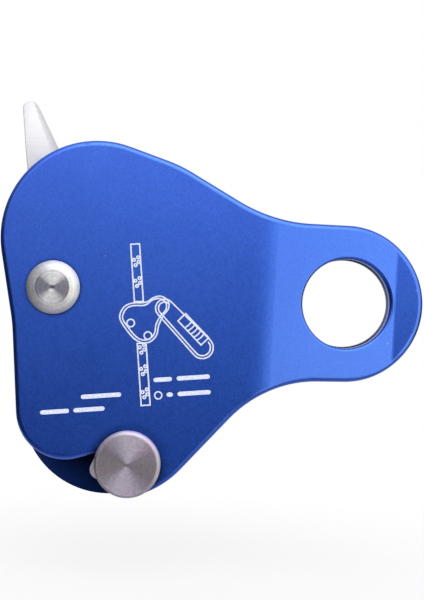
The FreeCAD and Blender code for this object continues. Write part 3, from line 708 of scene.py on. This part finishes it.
# ---- the studio --------------------------------------------------------------------------------
# (height of the direction, brightness): dim below, dark at the horizon, bright above
ROOM = [(-1.0, 0.42), (-0.7, 0.34), (-0.42, 0.13), (-0.22, 0.01), (-0.08, 0.03), (0.04, 0.34),
        (0.2, 1.42), (0.6, 1.65), (1.0, 1.1)]
MAUVE_BELOW = (0.88, 0.82, 1.0)        # tint of the room at the horizon and below
WHITE_FROM = 0.2                       # height from which the room is white
GLOW_AT, GLOW_RIM, GLOW_CORE = (47, -8), 31, 15        # degrees
GLOW = (1.62, 1.60, 1.22, 1)


def towards(azimuth, elevation):
    """Direction in the room: azimuth 0 is where the camera stands, positive to its right."""
    a, e = math.radians(azimuth), math.radians(elevation)
    return Vector((math.sin(a) * math.cos(e), -math.cos(a) * math.cos(e), math.sin(e)))


def studio_world():
    """White to the camera. For the metal: bright above, dim below and on the left, a glow on the
    right, and behind the object a dark room with a lit far wall."""
    world = bpy.data.worlds.new("studio")
    world.use_nodes = True
    graph = Graph(world.node_tree)
    direction = graph.add("ShaderNodeTexCoord").outputs["Generated"]
    parts = graph.split(direction)
    ramp = graph.add("ShaderNodeValToRGB")
    stops = ramp.color_ramp.elements
    while len(stops) < len(ROOM):
        stops.new(0.5)
    for stop, (height, level) in zip(stops, ROOM):
        stop.position = (height + 1) / 2
        whiteness = min(max(height / WHITE_FROM, 0), 1)
        stop.color = tuple(level * (c + (1 - c) * whiteness) for c in MAUVE_BELOW) + (1,)
    graph.feed(ramp, {0: graph.remap(parts["Z"], (-1, 1))})
    # in front: the ramp, darker towards the left wall, and the glow on the right
    side = graph.remap(parts["X"], (-0.85, -0.10), (0.12, 1.0), smooth=True)
    front = graph.mix(side, BLACK, ramp.outputs[0])
    near_glow = graph.vector("DOT_PRODUCT", direction, towards(*GLOW_AT))
    rim, core = (math.cos(math.radians(angle)) for angle in (GLOW_RIM, GLOW_CORE))
    front = graph.mix(graph.remap(near_glow, (rim, core), smooth=True), front, GLOW)
    # behind: dark near the horizon, but for the far wall that lights the rear side
    slant = graph.maths("ABSOLUTE", parts["Z"])
    dark_room = graph.remap(slant, (0.15, 0.60), (0.05, 0.50), smooth=True)
    far_wall = graph.remap(parts["Z"], (-0.5, 0.4), (0.26, 0.9))
    wall_share = graph.remap(parts["Y"], (0.64, 0.94), smooth=True)
    behind = graph.mix(wall_share, dark_room, far_wall)
    turn = graph.remap(parts["Y"], (-0.30, 0.12), smooth=True)
    room = graph.nodes["Background"]
    graph.feed(room, {"Color": graph.mix(turn, front, behind)})
    backdrop = graph.add("ShaderNodeBackground")
    graph.feed(backdrop, {"Color": WHITE})
    choose = graph.add("ShaderNodeMixShader")
    graph.feed(choose, {0: graph.add("ShaderNodeLightPath").outputs["Is Camera Ray"],
                        1: room.outputs[0], 2: backdrop.outputs[0]})
    graph.feed(graph.nodes["World Output"], {"Surface": choose.outputs[0]})
    return world


def soft_box(name, azimuth, elevation, distance, size, power, in_metal=True):
    """An area light that faces the object; in_metal says whether the metal mirrors it."""
    light = bpy.data.lights.new(name, "AREA")
    light.shape = "RECTANGLE"
    light.size, light.size_y = size
    light.energy = power
    thing = bpy.data.objects.new(name, light)
    away = towards(azimuth, elevation)
    thing.location = CENTRE + away * distance
    thing.rotation_euler = away.to_track_quat("Z", "Y").to_euler()
    thing.visible_glossy = in_metal
    bpy.context.scene.collection.objects.link(thing)


bpy.context.scene.world = studio_world()
bpy.context.scene.view_settings.view_transform = "Standard"
soft_box("key", 10, 55, distance=0.7, size=(0.7, 0.5), power=1.0)
soft_box("fill", 0, 10, distance=0.8, size=(0.6, 0.6), power=2.4, in_metal=False)

# ---- the camera: it looks along +Y, rolled so that the plates hang as in the photograph --------
ROLL = 0.0567                  # radians
AIM = Vector((-36.03, 0, -1.01)) * MM
DISTANCE = 320 * MM            # from the front plate's skin
LENS, SENSOR = 72.85, 36
camera = bpy.data.cameras.new("camera")
camera.sensor_fit = "VERTICAL"
camera.sensor_height = SENSOR
camera.lens = LENS
camera.clip_start = 10 * MM
eye = bpy.data.objects.new("camera", camera)
axes = Matrix(((math.cos(ROLL), -math.sin(ROLL), 0),
               (0, 0, -1),
               (math.sin(ROLL), math.cos(ROLL), 0)))
eye.matrix_world = Matrix.Translation((AIM.x, front_skin - DISTANCE, AIM.z)) @ axes.to_4x4()
bpy.context.scene.collection.objects.link(eye)
bpy.context.scene.camera = eye
